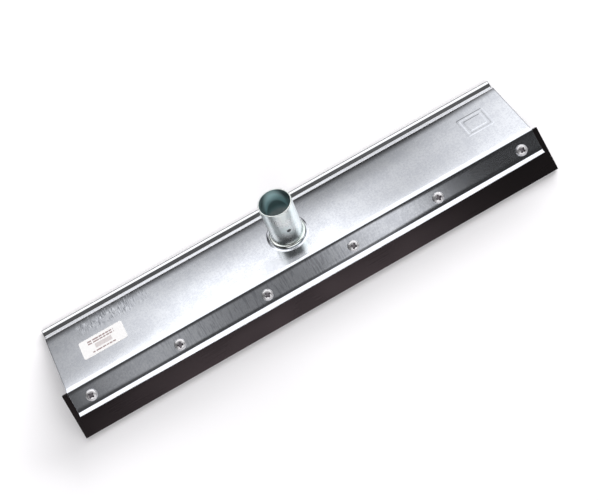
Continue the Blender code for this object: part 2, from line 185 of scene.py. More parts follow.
class FastenerSizes(bpy.types.PropertyGroup):
    """Clamp screws with their washers and nuts."""
    count: IntProperty(name="Count", description="Number of clamp screws", default=6, min=2)
    end_gap: size_of("End gap", 0.020, "Distance of the outer screws from the ends of the metal")
    drop: size_of("Drop", 0.014, "Distance of the screws below the front bend")
    turn: angle_of("Turn", 37, "Turn of each screw against the one before")
    diameter: size_of("Diameter", 0.006, "Diameter of the screws")
    clearance: size_of("Clearance", 0.0006, "Clearance of the screws in their holes")
    thread_pitch: size_of("Thread pitch", 0.001, "Rise of the thread in one turn")
    thread_depth: size_of("Thread depth", 0.0005, "Depth of the thread")
    head_diameter: size_of("Head diameter", 0.012, "Diameter of the pan heads")
    head_height: size_of("Head height", 0.0042, "Height of the pan heads")
    head_rim: size_of("Head rim", 0.0014, "Height of the straight side of the heads")
    head_edge: size_of("Head edge", 0.0003, "Chamfer of the heads' lower edges")
    tail: size_of("Tail", 0.002, "Length of the screws beyond the nuts")
    tip: size_of("Tip", 0.0008, "Chamfer of the screws' tips")
    recess_span: size_of("Recess span", 0.0078, "Span of the cross recess")
    recess_slot: size_of("Recess slot", 0.0020, "Width of the recess's arms")
    recess_depth: size_of("Recess depth", 0.0026, "Depth of the recess")
    recess_taper: number_of("Recess taper", 0.55, "Size of the recess at its bottom against its span")
    recess_flare: number_of("Recess flare", 1.2, "Size of the recess at its upper end against its span")
    recess_throat: number_of("Recess throat", 1.6, "Width of the recess between its arms against an arm")
    nut_flats: size_of("Nut flats", 0.010, "Width of the nuts across their flats")
    nut_height: size_of("Nut height", 0.005, "Height of the nuts")
    nut_chamfer: angle_of("Nut chamfer", 30, "Chamfer of the nuts' corners")
    washer_diameter: size_of("Washer diameter", 0.0118, "Outer diameter of the spring washers")
    washer_thickness: size_of("Washer thickness", 0.0016, "Thickness of the spring washers")
    washer_edge: size_of("Washer edge", 0.0002, "Rounding of the washers' edges")
    washer_split: size_of("Washer split", 0.0010, "Width of the split in a washer")
    washer_slant: angle_of("Washer slant", 25, "Slant of the split")


class LabelSizes(bpy.types.PropertyGroup):
    """Paper label with plain rules."""
    length: size_of("Length", 0.049, "Length of the label")
    depth: size_of("Depth", 0.0225, "Depth of the label")
    corner: size_of("Corner", 0.0022, "Radius of the label's corners")
    thickness: size_of("Thickness", 0.00012, "Thickness of the paper")
    end_gap: size_of("End gap", 0.0292, "Distance of the label from the left end of the metal")
    setback: size_of("Setback", 0.0339, "Distance of the label's middle behind the front bend")
    lift: size_of("Lift", 0.00003, "Gap between the label and the plate")


class Finishes(bpy.types.PropertyGroup):
    """Colours of the finishes."""
    sheet: colour_of("Sheet", (0.87, 0.895, 0.95), "Zinc on the bent sheet")
    sheet_dark: colour_of("Sheet, dull", (0.76, 0.785, 0.85), "Duller zinc in the sheet's mottling")
    sheet_groove: colour_of("Sheet, groove", (0.835, 0.845, 0.875), "Greyer zinc in the groove")
    # Painted shade on the hem's fold, and a darker line along the cut ends
    sheet_painted_darkening: colour_of("Sheet, grime", (0.10, 0.10, 0.11), "Grime on the hem's fold and on the cut ends")
    scuff: colour_of("Scuff", (0.30, 0.32, 0.36), "Grey of the strokes and scuffs on the sheet")
    tube: colour_of("Tube", (0.88, 0.90, 0.88), "Passivated zinc on the outside of the tube")
    tube_tint: colour_of("Tube, tinted", (0.62, 0.77, 0.76), "Blue-green tint of the passivated zinc")
    tube_inside: colour_of("Tube, inside", (0.65, 0.93, 0.96), "Dull passivated zinc inside the tube")
    # Painted pale reflection at the foot of the bore
    tube_lit_foot: colour_of("Tube, foot", (0.90, 0.93, 0.93), "Greyer zinc deep inside the tube")
    # Painted shade under the tube's bead, in its pin hole and on its front below the hole
    painted_darkening: colour_of("Darkening", (0.06, 0.06, 0.065), "Grime in the hole and under the bead of the tube")
    rubber: colour_of("Rubber", (0.0030, 0.0025, 0.0026), "Black rubber")
    # Paler rubber for its bloom, and for a painted sheen in the middle of the blade
    rubber_bloom_and_sheen: colour_of("Rubber, bloomed", (0.062, 0.0483, 0.0525), "Bloom on the rubber's surface")
    dust: colour_of("Dust", (0.11, 0.10, 0.10), "Dust on the rubber")
    sheen: colour_of("Sheen", (1.0, 0.84, 0.88), "Tint of the rubber's sheen")
    screw: colour_of("Screw", (0.80, 0.79, 0.81), "Bright zinc on the screws")
    # Painted shade in the screws' recesses
    recess: colour_of("Recess", (0.16, 0.13, 0.16), "Shadow in the screws' recesses")
    bar: colour_of("Bar", (0.60, 0.61, 0.63), "Dull zinc on the clamp bar")
    washer: colour_of("Washer", (0.42, 0.42, 0.44), "Grey spring washers")
    nut: colour_of("Nut", (0.68, 0.68, 0.70), "Zinc on the nuts")
    paper: colour_of("Paper", (0.70, 0.692, 0.692), "White paper of the label")
    ink: colour_of("Ink", (0.16, 0.075, 0.075), "Ink of the plain rules on the label")


class StageSettings(bpy.types.PropertyGroup):
    """Camera, floor and lights."""
    lens: FloatProperty(name="Lens", description="Focal length in mm", default=63.05, min=1, unit="CAMERA")
    sensor: FloatProperty(name="Sensor", description="Width of the sensor in mm", default=36, unit="CAMERA")
    target: FloatVectorProperty(name="Target", description="Point that the camera looks at",
                                default=(0.00157, -0.00617, 0.020), size=3, unit="LENGTH")
    distance: size_of("Distance", 1.0693, "Distance of the camera from its target")
    elevation: angle_of("Elevation", 70.148, "Height of the camera above the horizon, seen from the target")
    azimuth: angle_of("Azimuth", 13.674, "Turn of the view from +Y towards +X")
    roll: angle_of("Roll", -16.643, "Turn of the camera about its view")
    floor_size: size_of("Floor size", 6.0, "Side of the square floor")
    floor_gap: size_of("Floor gap", 0.0002, "Gap under the head")
    floor_glow: number_of("Floor glow", 0.10, "Share of plain white in what is seen of the floor")
    floor_shade: size_of("Floor shade", 0.03, "Soft edge of the floor's plain shade under the head")
    floor_colour: colour_of("Floor colour", (0.902, 0.888, 0.908), "Paint of the floor")
    key_level: number_of("Key level", 2750, "Power of the low soft light behind the head")
    key_elevation: angle_of("Key elevation", 15.5, "Height of that light above the horizon")
    key_azimuth: angle_of("Key azimuth", 46, "Turn of that light from +Y towards +X")
    key_distance: size_of("Key distance", 12.0, "Distance of that light")
    key_width: size_of("Key width", 14.0, "Width of that light")
    key_height: size_of("Key height", 2.2, "Height of that light's panel")
    fill_level: number_of("Fill level", 185, "Power of the soft light in front of the head")
    fill_elevation: angle_of("Fill elevation", 35, "Height of that light above the horizon")
    fill_azimuth: angle_of("Fill azimuth", 195, "Turn of that light from +Y towards +X")
    fill_distance: size_of("Fill distance", 8.0, "Distance of that light")
    fill_width: size_of("Fill width", 6.0, "Width of that light")
    fill_height: size_of("Fill height", 3.0, "Height of that light's panel")


GROUPS = (SheetSizes, SocketSizes, BladeSizes, FastenerSizes, LabelSizes, Finishes, StageSettings)


class Settings(bpy.types.PropertyGroup):
    """All settings of the head."""
    sheet: PointerProperty(type=SheetSizes)
    socket: PointerProperty(type=SocketSizes)
    blade: PointerProperty(type=BladeSizes)
    fastener: PointerProperty(type=FastenerSizes)
    label: PointerProperty(type=LabelSizes)
    finish: PointerProperty(type=Finishes)
    stage: PointerProperty(type=StageSettings)


def settings():
    return bpy.context.scene.squeegee


def picked(*names):
    """Groups of settings by their names."""
    return [getattr(settings(), name) for name in names]


# Frames

def head_frame():
    """Place of the head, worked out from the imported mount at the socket's mouth."""
    sheet, socket = picked("sheet", "socket")
    mount = next(m for m in frame["record"]["mounts"] if m["name"] == "socket_mouth")
    up = Vector(mount["axis"]).normalized()
    along = Vector((1, 0, 0))
    back = up.cross(along)
    mouth = Vector(mount["pos_m"])
    mouth.x = 0
    place = Matrix((along, back, up)).transposed().to_4x4()
    place.translation = mouth - back * socket.setback - up * (socket.height + sheet.thickness / 2)
    return place


def blade_frame():
    """Place of the clamp face, with Y up the face and Z out of it."""
    return head_frame() @ Matrix.Rotation(settings().sheet.front_bend, 4, "X")


def clamp_layers():
    """Heights of the clamped layers, measured from the middle of the sheet out of the clamp face."""
    sheet, blade, fastener = picked("sheet", "blade", "fastener")
    head_foot = sheet.thickness / 2 + blade.fit
    layers = {"head_foot": head_foot, "head_crown": head_foot + fastener.head_height}
    height = -sheet.thickness / 2
    stack = (("blade", blade.thickness), ("bar", blade.bar_thickness),
             ("washer", fastener.washer_thickness), ("nut", fastener.nut_height))
    for name, thickness in stack:
        layers[name + "_front"] = height - blade.fit
        layers[name + "_rear"] = height - blade.fit - thickness
        height = layers[name + "_rear"]
    layers["screw_end"] = height - fastener.tail
    return layers


def screw_places():
    """Centres of the screws in the blade's frame."""
    sheet, fastener = picked("sheet", "fastener")
    first = fastener.end_gap - sheet.length / 2
    pitch = -2 * first / (fastener.count - 1)
    return [Vector((first + i * pitch, -fastener.drop, 0)) for i in range(fastener.count)]


# Meshes

def skin(name, rings, wrap=False):
    """Mesh through closed rings of points, wrapped from the last to the first or capped at both ends."""
    bm = bmesh.new()
    rows = [[bm.verts.new(point) for point in ring] for ring in rings]
    pairs = list(zip(rows, rows[1:]))
    if wrap:
        pairs.append((rows[-1], rows[0]))
    else:
        bm.faces.new(rows[0])
        bm.faces.new(rows[-1])
    for low, high in pairs:
        for i in range(len(low)):
            j = (i + 1) % len(low)
            bm.faces.new((low[i], low[j], high[j], high[i]))
    bmesh.ops.remove_doubles(bm, verts=bm.verts, dist=WELD)
    bmesh.ops.dissolve_degenerate(bm, dist=WELD, edges=bm.edges)
    bmesh.ops.recalc_face_normals(bm, faces=bm.faces)
    mesh = bpy.data.meshes.new(name)
    bm.to_mesh(mesh)
    bm.free()
    return mesh


def merged(name, meshes):
    """One mesh of several."""
    bm = bmesh.new()
    for mesh in meshes:
        bm.from_mesh(mesh)
    whole = bpy.data.meshes.new(name)
    bm.to_mesh(whole)
    bm.free()
    return whole


def shown(name, data):
    obj = bpy.data.objects.new(name, data)
    bpy.context.scene.collection.objects.link(obj)
    return obj


def evaluated_mesh(obj, name):
    """Plain mesh of an object as its modifiers leave it. The object is removed."""
    bpy.context.view_layer.update()
    graph = bpy.context.evaluated_depsgraph_get()
    mesh = bpy.data.meshes.new_from_object(obj.evaluated_get(graph))
    mesh.name = name
    bpy.data.objects.remove(obj)
    return mesh


def carved(name, blank, tools):
    """Mesh of a blank after closed tools cut into it, add to it or keep only what lies in them."""
    obj = shown(name, blank)
    helpers = []
    for operation, tool in tools:
        helper = shown(name + "_tool", tool)
        helpers.append(helper)
        boolean = obj.modifiers.new(operation, "BOOLEAN")
        boolean.operation = operation
        boolean.solver = "EXACT"
        boolean.object = helper
    mesh = evaluated_mesh(obj, name)
    for helper in helpers:
        bpy.data.objects.remove(helper)
    bm = bmesh.new()
    bm.from_mesh(mesh)
    bmesh.ops.remove_doubles(bm, verts=bm.verts, dist=WELD)
    bm.to_mesh(mesh)
    bm.free()
    return mesh


def circle(radius, height, steps, centre=(0, 0)):
    """Ring of points round local Z."""
    return [Vector((centre[0] + radius * cos(2 * pi * i / steps),
                    centre[1] + radius * sin(2 * pi * i / steps), height)) for i in range(steps)]


def turned(name, profile, steps, ring):
    """Mesh turned about Z. A ring's profile is a closed loop, and any other starts and ends on the axis."""
    if ring:
        turns = [2 * pi * i / steps for i in range(steps)]
        rings = [[Vector((r * cos(a), r * sin(a), h)) for r, h in profile] for a in turns]
        return skin(name, rings, wrap=True)
    return skin(name, [circle(max(r, POLE), h, steps) for r, h in profile])


def arc(centre, radius, start, sweep, tall=None):
    """Points on an arc or, where tall is given, on an ellipse of that half height."""
    count = max(ARC_FACETS, ceil(abs(sweep) / ARC_STEP))
    height = radius if tall is None else tall
    angles = [start + sweep * i / count for i in range(count + 1)]
    return [(centre[0] + radius * cos(a), centre[1] + height * sin(a)) for a in angles]


def rounded_outline(width, depth, corner):
    """Rectangle with round corners, as points about its middle."""
    points = []
    for quarter, (across, along) in enumerate(((1, 1), (-1, 1), (-1, -1), (1, -1))):
        centre = (across * (width / 2 - corner), along * (depth / 2 - corner))
        points += arc(centre, corner, quarter * pi / 2, pi / 2)
    return points


def edge_steps(radius):
    """Pairs of pull-back and inset that round an edge, from its end inwards."""
    angles = [radians(a) for a in (90, 60, 30, 0)]
    return [(radius * (1 - sin(a)), radius * (1 - cos(a))) for a in angles]


def stations(length, edge, count):
    """Places along X with the inset of the outline there, which rounds both ends."""
    half = length / 2
    ends = edge_steps(edge)
    rows = [(-half + pull, inset) for pull, inset in ends]
    rows += [(-half + length * i / count, 0) for i in range(1, count)]
    return rows + [(half - pull, inset) for pull, inset in reversed(ends)]


def rounded_bar(name, length, width, low, high, edge, count):
    """Bar along X with rounded edges, centred in Y, between two heights."""
    rings = []
    for x, inset in stations(length, edge, count):
        outline = rounded_outline(width - 2 * inset, high - low - 2 * inset, edge)
        rings.append([Vector((x, y, z + (low + high) / 2)) for y, z in outline])
    return skin(name, rings)


def pegs(name, radius, low, high, places, steps):
    """Closed cylinders on several places, as one mesh."""
    meshes = []
    for place in places:
        rings = [circle(radius, height, steps, (place.x, place.y)) for height in (low, high)]
        meshes.append(skin(name, rings))
    return merged(name, meshes)


def screw_holes(low, high, steps):
    """Tools for the screws' holes, in the blade's frame."""
    fastener = settings().fastener
    radius = (fastener.diameter + fastener.clearance) / 2
    return pegs("screw_holes", radius, low, high, screw_places(), steps)


def finish_piece(name, mesh, place, material, nodes):
    """Put a finished mesh in its place, and let it ride on the head instead of its CAD nodes."""
    mesh.name = name
    mesh.transform(place)
    mesh.shade_smooth()
    mesh.set_sharp_from_angle(angle=SHARP_ANGLE)
    mesh.materials.clear()
    mesh.materials.append(material)
    piece = shown(name, mesh)
    shading = piece.modifiers.new("flat_faces", "WEIGHTED_NORMAL")
    shading.keep_sharp = True
    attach(piece, BODY)
    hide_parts(*nodes)


# Bent sheet

class Walk:
    """Middle line of the sheet, walked from the flange's edge to the hem's."""

    def __init__(self, heading):
        self.place = Vector((0, 0))
        self.heading = heading
        self.marks = []

    def ahead(self, length):
        return self.place + length * Vector((cos(self.heading), sin(self.heading)))

    def go(self, length):
        self.place = self.ahead(length)

    def mark(self, inset=0, reach=0):
        self.marks.append((self.ahead(reach), self.heading, inset))

    def bend(self, angle, radius):
        count = max(BEND_FACETS, ceil(abs(angle) / ARC_STEP))
        step = angle / count
        for _ in range(count):
            self.heading += step / 2
            self.go(2 * radius * sin(abs(step) / 2))
            self.heading += step / 2
            self.mark()


def sheet_line(sheet, x):
    """Middle line of the sheet at one place along it, as points with headings and insets, flange first."""
    flange = sheet.flange_width - sheet.flange_bow * (2 * x / sheet.length) ** 2
    turn = sheet.front_bend - sheet.face_roll
    cut = sheet.lead_back * sin(sheet.lead) / sin(turn - sheet.lead)
    slope = sheet.lead_back * sin(turn) / sin(turn - sheet.lead)
    bends = (
        (flange, sheet.flange_bend - sheet.face_roll, sheet.bend_radius),
        (sheet.face_edge, sheet.face_roll, sheet.face_roll_radius),
        (sheet.face_height - 2 * sheet.face_edge, -sheet.face_roll, sheet.face_roll_radius),
        (sheet.face_edge - cut, sheet.lead - turn, sheet.bend_radius),
        (slope, -sheet.lead, sheet.lead_radius),
        (sheet.plate_depth - sheet.roll_back - sheet.lead_back, -sheet.roll, sheet.roll_radius),
        (sheet.roll_back, sheet.roll - sheet.groove_fall, sheet.mouth_radius),
        (sheet.groove_fall_run, sheet.groove_fall + sheet.groove_rise, sheet.groove_radius),
        (sheet.groove_rise_run, sheet.rim_tilt - sheet.groove_rise, sheet.groove_radius),
    )
    walk = Walk(sheet.front_bend - sheet.flange_bend)
    pulls = edge_steps(sheet.edge)
    for pull, inset in pulls:
        walk.mark(inset, pull)
    spent = 0
    for index, (run, angle, radius) in enumerate(bends):
        taken = radius * tan(abs(angle) / 2)
        if index == FRONT_BEND:
            corner = walk.ahead(run - spent + cut)
        walk.go(run - spent - taken)
        walk.mark()
        walk.bend(angle, radius)
        spent = taken
    walk.go(sheet.rim_width - spent)
    walk.mark()
    walk.bend(-pi, (sheet.thickness + sheet.hem_gap) / 2)
    for pull, inset in reversed(pulls):
        walk.mark(inset, sheet.hem_return - pull)
    return [(point - corner, heading, inset) for point, heading, inset in walk.marks]


def sheet_ring(sheet, x, shrink):
    """Outline of the bent sheet at one place along it."""
    upper = []
    lower = []
    for point, heading, inset in sheet_line(sheet, x):
        side = Vector((-sin(heading), cos(heading))) * (sheet.thickness / 2 - max(inset, shrink))
        upper.append(Vector((x, *(point + side))))
        lower.append(Vector((x, *(point - side))))
    return upper + lower[::-1]


def pressed_block(sheet, inset, foot, height):
    """Low block with sloping sides and a soft upper edge, from a foot below the plate to its height."""
    levels = [(foot, inset)]
    levels += [(height * up, inset + sheet.mark_slope * aside) for up, aside in PRESSED_EDGE]
    rings = []
    for z, step in levels:
        width = sheet.mark_length - 2 * step
        depth = sheet.mark_depth - 2 * step
        outline = rounded_outline(width, depth, sheet.mark_corner)
        rings.append([Vector((x, y, z)) for x, y in outline])
    return skin("press", rings)


def pressed_mark(sheet):
    """Plain double frame pressed up in the plate: two raised blocks, with a sunk field between them."""
    middle = sheet.length / 2 - sheet.mark_end_gap - sheet.mark_length / 2
    centre = Vector((middle, sheet.mark_setback, sheet.thickness / 2))
    high = sheet.mark_height
    field_depth = high * 0.94
    inner_inset = sheet.mark_line * 2.1
    outer = pressed_block(sheet, 0, -sheet.thickness / 3, high)
    field = pressed_block(sheet, sheet.mark_line, -high * 2, field_depth)
    field.transform(Matrix.Scale(-1, 4, (0, 0, 1)))
    field.flip_normals()
    field.transform(Matrix.Translation((0, 0, high)))
    inner = pressed_block(sheet, inner_inset, -sheet.thickness / 3, high)
    for block in (outer, field, inner):
        block.transform(Matrix.Translation(centre))
    return [("UNION", outer), ("DIFFERENCE", field), ("UNION", inner)]


def bent_sheet():
    """The whole bent sheet with its holes, in the head's frame."""
    sheet, socket, blade = picked("sheet", "socket", "blade")
    rows = stations(sheet.length, sheet.edge, SHEET_STATIONS)
    blank = skin("sheet_blank", [sheet_ring(sheet, x, shrink) for x, shrink in rows])
    tube = pegs("socket_hole", socket.bore / 2 + socket.wall + blade.fit, -CUT_MARGIN, CUT_MARGIN,
                [Vector((0, socket.setback, 0))], socket.steps)
    screws = screw_holes(-CUT_MARGIN, CUT_MARGIN, ROUND_STEPS)
    screws.transform(Matrix.Rotation(sheet.front_bend, 4, "X"))
    holes = [("DIFFERENCE", tube), ("DIFFERENCE", screws)]
    return carved("bent_sheet", blank, holes + pressed_mark(sheet))


# Handle tube

def tube_profile():
    """Wall of the handle tube, with heights from the middle of the plate."""
    sheet, socket, blade = picked("sheet", "socket", "blade")
    lip = socket.lip
    wall = socket.wall
    bead = socket.bead_height / 2
    bore = socket.bore / 2
    outer = bore + wall
    top = sheet.thickness / 2 + socket.height
    foot = sheet.thickness / 2 + blade.fit
    reach = outer + socket.flare_reach
    profile = arc((outer - lip, top - lip), lip, pi / 2, -pi / 2)
    profile += arc((outer, foot + bead), socket.bead_reach, pi / 2, -pi, bead)
    profile += [(outer, -foot), (reach - lip, -foot)]
    profile += arc((reach - wall / 2, -foot - wall / 2), wall / 2, pi / 2, -pi)
    profile += arc((outer, -foot), wall, -pi / 2, -pi / 2)
    profile += arc((bore + lip, top - lip), lip, pi, -pi / 2)
    return profile


def handle_tube():
    """Tube with its bead, flare and pin hole, in the head's frame."""
    sheet, socket = picked("sheet", "socket")
    blank = turned("tube_blank", tube_profile(), socket.steps, True)
    pin = pegs("pin_hole", socket.pin_hole / 2, -CUT_MARGIN, CUT_MARGIN, [Vector((0, 0, 0))], ROUND_STEPS)
    pin.transform(Matrix.Translation((0, -socket.bore / 2, sheet.thickness / 2 + socket.pin_height))
                  @ Matrix.Rotation(pi / 2, 4, "X"))
    tube = carved("handle_tube", blank, [("DIFFERENCE", pin)])
    tube.transform(Matrix.Translation((0, socket.setback, 0)))
    return tube


# Rubber blade and clamp bar

def holed_strip(name, layer, length, width, edge, middle):
    """Strip of one clamped layer with rounded edges and the screw holes, in the blade's frame."""
    layers = clamp_layers()
    low = layers[layer + "_rear"]
    high = layers[layer + "_front"]
    blank = rounded_bar(name, length, width, low, high, edge, STRIP_STATIONS)
    blank.transform(Matrix.Translation((0, middle, 0)))
    holes = screw_holes(low - CUT_MARGIN, high + CUT_MARGIN, STRIP_HOLE_STEPS)
    return carved(name, blank, [("DIFFERENCE", holes)])


# Fasteners

def screw_blank(fastener, layers):
    """Screw with a pan head, a plain neck and a threaded end, as rings from the tip to the crown."""
    radius = fastener.diameter / 2
    end = layers["screw_end"]
    thread_top = layers["bar_front"]
    rows_per_turn = len(THREAD_FORM)
    turns = ceil((thread_top - end) / fastener.thread_pitch)
    rings = [circle(reach, end, ROUND_STEPS) for reach in (POLE, radius - fastener.tip)]
    for row in range(-rows_per_turn, turns * rows_per_turn + 1):
        depth = THREAD_FORM[row % rows_per_turn] * fastener.thread_depth
        ring = []
        for i in range(ROUND_STEPS):
            rise = fastener.thread_pitch * (row / rows_per_turn + i / ROUND_STEPS)
            height = min(max(end + rise, end), thread_top)
            limit = radius - fastener.tip + (height - end)
            reach = radius if end + rise > thread_top else min(radius - depth, limit)
            angle = 2 * pi * i / ROUND_STEPS
            ring.append(Vector((reach * cos(angle), reach * sin(angle), height)))
        rings.append(ring)
    under = layers["head_foot"]
    head = fastener.head_diameter / 2
    soft = fastener.head_edge
    profile = [(radius, thread_top), (radius, under), (head - soft, under), (head, under + soft)]
    profile += arc((0, under + fastener.head_rim), head, 0, pi / 2, fastener.head_height - fastener.head_rim)
    return rings + [circle(max(r, POLE), h, ROUND_STEPS) for r, h in profile]


def recess_tool(fastener, crown):
    """Tapered cross that sinks into the crown of a screw."""
    span = fastener.recess_span / 2
    slot = fastener.recess_slot / 2
    throat = slot * fastener.recess_throat
    outline = []
    for quarter in range(4):
        turn = Matrix.Rotation(quarter * pi / 2, 2)
        outline += [turn @ Vector(point) for point in ((span, -slot), (span, slot), (throat, throat))]
    depth = fastener.recess_depth
    levels = ((crown - depth, fastener.recess_taper), (crown + depth, fastener.recess_flare))
    rings = [[Vector((x * scale, y * scale, height)) for x, y in outline] for height, scale in levels]
    return skin("recess", rings)


def screw_mesh():
    fastener = settings().fastener
    layers = clamp_layers()
    blank = skin("screw_blank", screw_blank(fastener, layers))
    return carved("clamp_screw", blank, [("DIFFERENCE", recess_tool(fastener, layers["head_crown"]))])


def nut_mesh():
    """Hexagon nut: a prism inside a chamfered disc, with a countersunk bore."""
    blade, fastener = picked("blade", "fastener")
    layers = clamp_layers()
    front = layers["nut_front"]
    rear = layers["nut_rear"]
    above = front + CUT_MARGIN
    below = rear - CUT_MARGIN
    flat = fastener.nut_flats / 2
    corner = flat / cos(pi / 6)
    reach = corner + fastener.clearance
    fall = (reach - flat) * tan(fastener.nut_chamfer)
    bore = fastener.diameter / 2 + blade.fit
    sink = bore + fastener.tip + CUT_MARGIN
    prism = skin("prism", [circle(corner, height, 6) for height in (below, above)])
    disc = [(0, front), (flat, front), (reach, front - fall), (reach, rear + fall), (flat, rear), (0, rear)]
    drill = [(0, above), (sink, above), (bore, front - fastener.tip),
             (bore, rear + fastener.tip), (sink, below), (0, below)]
    return carved("clamp_nut", prism, [("INTERSECT", turned("disc", disc, NUT_STEPS, False)),
                                       ("DIFFERENCE", turned("drill", drill, ROUND_STEPS, False))])


def washer_mesh():
    """Spring washer pressed flat, with its slanted split."""
    fastener = settings().fastener
    layers = clamp_layers()
    inner = (fastener.diameter + fastener.clearance) / 2
    outer = fastener.washer_diameter / 2
    middle = (inner + outer) / 2
    height = (layers["washer_front"] + layers["washer_rear"]) / 2
    outline = rounded_outline(outer - inner, fastener.washer_thickness, fastener.washer_edge)
    blank = turned("washer", [(middle + x, height + y) for x, y in outline], WASHER_STEPS, True)
    slit = rounded_bar("slit", fastener.washer_split, outer, -CUT_MARGIN, CUT_MARGIN, WELD * 10, 2)
    slit.transform(Matrix.Translation((0, middle, height)) @ Matrix.Rotation(fastener.washer_slant, 4, "Y"))
    return carved("lock_washer", blank, [("DIFFERENCE", slit)])


def row_tree():
    """Geometry nodes that repeat a fastener along the clamp face, each turned against the one before."""
    tree = bpy.data.node_groups.new("fastener_row", "GeometryNodeTree")
    inputs = (("Fastener", "Geometry"), ("Count", "Int"), ("First", "Vector"), ("Pitch", "Vector"),
              ("Turn", "Float"), ("Finish", "Material"))
    for name, kind in inputs:
        tree.interface.new_socket(name, in_out="INPUT", socket_type="NodeSocket" + kind)
    tree.interface.new_socket("Row", in_out="OUTPUT", socket_type="NodeSocketGeometry")

    def add(kind, **links):
        node = tree.nodes.new(kind)
        for socket, source in links.items():
            tree.links.new(source, node.inputs[socket.replace("_", " ")])
        return node

    given = add("NodeGroupInput").outputs
    line = tree.nodes.new("GeometryNodeMeshLine")
    line.mode = "OFFSET"
    for socket, name in (("Count", "Count"), ("Start Location", "First"), ("Offset", "Pitch")):
        tree.links.new(given[name], line.inputs[socket])
    number = tree.nodes.new("ShaderNodeMath")
    number.operation = "MULTIPLY_ADD"
    tree.links.new(add("GeometryNodeInputIndex").outputs["Index"], number.inputs[0])
    tree.links.new(given["Turn"], number.inputs[1])
    tree.links.new(given["Turn"], number.inputs[2])
    spin = add("ShaderNodeCombineXYZ", Z=number.outputs[0])
    copies = add("GeometryNodeInstanceOnPoints", Points=line.outputs["Mesh"], Instance=given["Fastener"],
                 Rotation=spin.outputs["Vector"])
    solid = add("GeometryNodeRealizeInstances", Geometry=copies.outputs["Instances"])
    painted = add("GeometryNodeSetMaterial", Geometry=solid.outputs["Geometry"], Material=given["Finish"])
    add("NodeGroupOutput", Row=painted.outputs["Geometry"])
    return tree


def fastener_row(name, mesh, material):
    """Mesh of a whole row of one fastener, in the blade's frame."""
    fastener = settings().fastener
    places = screw_places()
    mesh.shade_smooth()
    mesh.set_sharp_from_angle(angle=SHARP_ANGLE)
    tree = bpy.data.node_groups.get("fastener_row") or row_tree()
    obj = shown(name, mesh)
    modifier = obj.modifiers.new("row", "NODES")
    modifier.node_group = tree
    values = {"Count": fastener.count, "First": places[0], "Pitch": places[1] - places[0],
              "Turn": fastener.turn, "Finish": material}
    for item in tree.interface.items_tree:
        if item.name in values:
            modifier[item.identifier] = values[item.name]
    return evaluated_mesh(obj, name)


# Label

def label_place():
    """Centre of the label's underside in the head's frame."""
    sheet, label = picked("sheet", "label")
    middle = label.end_gap + label.length / 2 - sheet.length / 2
    return Vector((middle, label.setback, sheet.thickness / 2 + label.lift))


def label_sheet():
    """Thin paper with round corners, in the head's frame."""
    label = settings().label
    outline = rounded_outline(label.length, label.depth, label.corner)
    rings = [[Vector((x, y, z)) for x, y in outline] for z in (0, label.thickness)]
    mesh = skin("paper", rings)
    mesh.transform(Matrix.Translation(label_place()))
    return mesh


# Shader graphs

class Value:
    """Output of a node. Arithmetic on it adds Math nodes."""

    def __init__(self, graph, socket):
        self.graph = graph
        self.socket = socket

    def math(self, operation, *others):
        return self.graph.node("ShaderNodeMath", {"operation": operation}, [self, *others])

    def __add__(self, other):
        return self.math("ADD", other)

    def __sub__(self, other):
        return self.math("SUBTRACT", other)

    def __mul__(self, other):
        return self.math("MULTIPLY", other)

    def __rsub__(self, other):
        return self.graph.node("ShaderNodeMath", {"operation": "SUBTRACT"}, [other, self])

    __radd__ = __add__

    def __abs__(self):
        return self.math("ABSOLUTE")

    def larger(self, other):
        return self.math("MAXIMUM", other)


